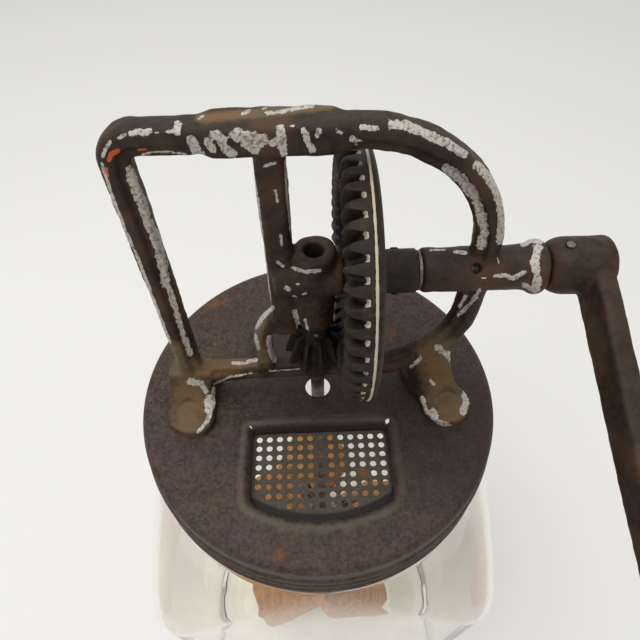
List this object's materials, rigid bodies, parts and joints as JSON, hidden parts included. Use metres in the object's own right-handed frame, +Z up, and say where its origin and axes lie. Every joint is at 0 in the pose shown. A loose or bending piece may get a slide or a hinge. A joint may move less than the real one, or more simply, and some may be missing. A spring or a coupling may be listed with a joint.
{
  "type": "glass butter churn",
  "caption": "Square glass churn jar with a screw lid, cast frame, bevel gears and a side crank that spins a four-bladed wooden dasher",
  "frame": {"origin": "centre of the jar's foot, on the vertical axis of the dasher rod", "axes": "+X runs along the crank shaft towards the crank, -Y is the side with the vent screen, +Z is up"},
  "size_m": [0.2193, 0.1711, 0.3477],
  "materials": {
    "jar_glass": "clear pressed glass, slightly wavy",
    "lid_steel": "purple-brown lacquer, mottled with rust",
    "cast_frame": "dark brown paint worn through to grey metal",
    "cast_gear": "dark, oily, with bare edges",
    "plain_steel": "dull, browned",
    "knob_wood": "turned hardwood, worn varnish",
    "paddle_wood": "bare softwood, darkened by use"
  },
  "bodies": {
    "jar_body": {"jar": "jar_glass"},
    "lid_top": {"lid": "lid_steel", "vent_screen": "lid_steel", "frame": "cast_frame", "frame_rivets": "cast_frame", "thrust_washer": "plain_steel"},
    "crank": {"crank_shaft": "plain_steel", "gear_wheel": "cast_gear", "gear_pin": "plain_steel", "spacer_washer": "plain_steel", "crank_arm": "cast_frame", "crank_pin": "plain_steel", "knob_spindle": "plain_steel", "knob_washer": "plain_steel"},
    "knob": {"crank_knob": "knob_wood"},
    "dasher": {"dasher_rod": "plain_steel", "pinion": "cast_gear", "pinion_pin": "plain_steel", "dasher_hub": "plain_steel", "hub_pin": "plain_steel", "paddle_1": "paddle_wood", "paddle_2": "paddle_wood", "paddle_3": "paddle_wood", "paddle_4": "paddle_wood", "paddle_rivets": "plain_steel"}
  },
  "joints": [
    {"name": "lid_lift", "type": "slide", "parent": "jar_body", "child": "lid_top", "axis": [0, 0, 1], "range_m": [0, 0.215]},
    {"name": "crank_spin", "type": "hinge", "parent": "lid_top", "child": "crank", "pos_m": [0, 0, 0.2986], "axis": [1, 0, 0], "continuous": true},
    {"name": "knob_spin", "type": "hinge", "parent": "crank", "child": "knob", "pos_m": [0.085, -0.08645, 0.26713], "axis": [1, 0, 0], "continuous": true},
    {"name": "dasher_spin", "type": "hinge", "parent": "lid_top", "child": "dasher", "pos_m": [0, 0, 0.2986], "axis": [0, 0, 1], "continuous": true}
  ],
  "couplings": [
    {"joint": "dasher_spin", "follows": "crank_spin", "ratio": 4.1818}
  ]
}
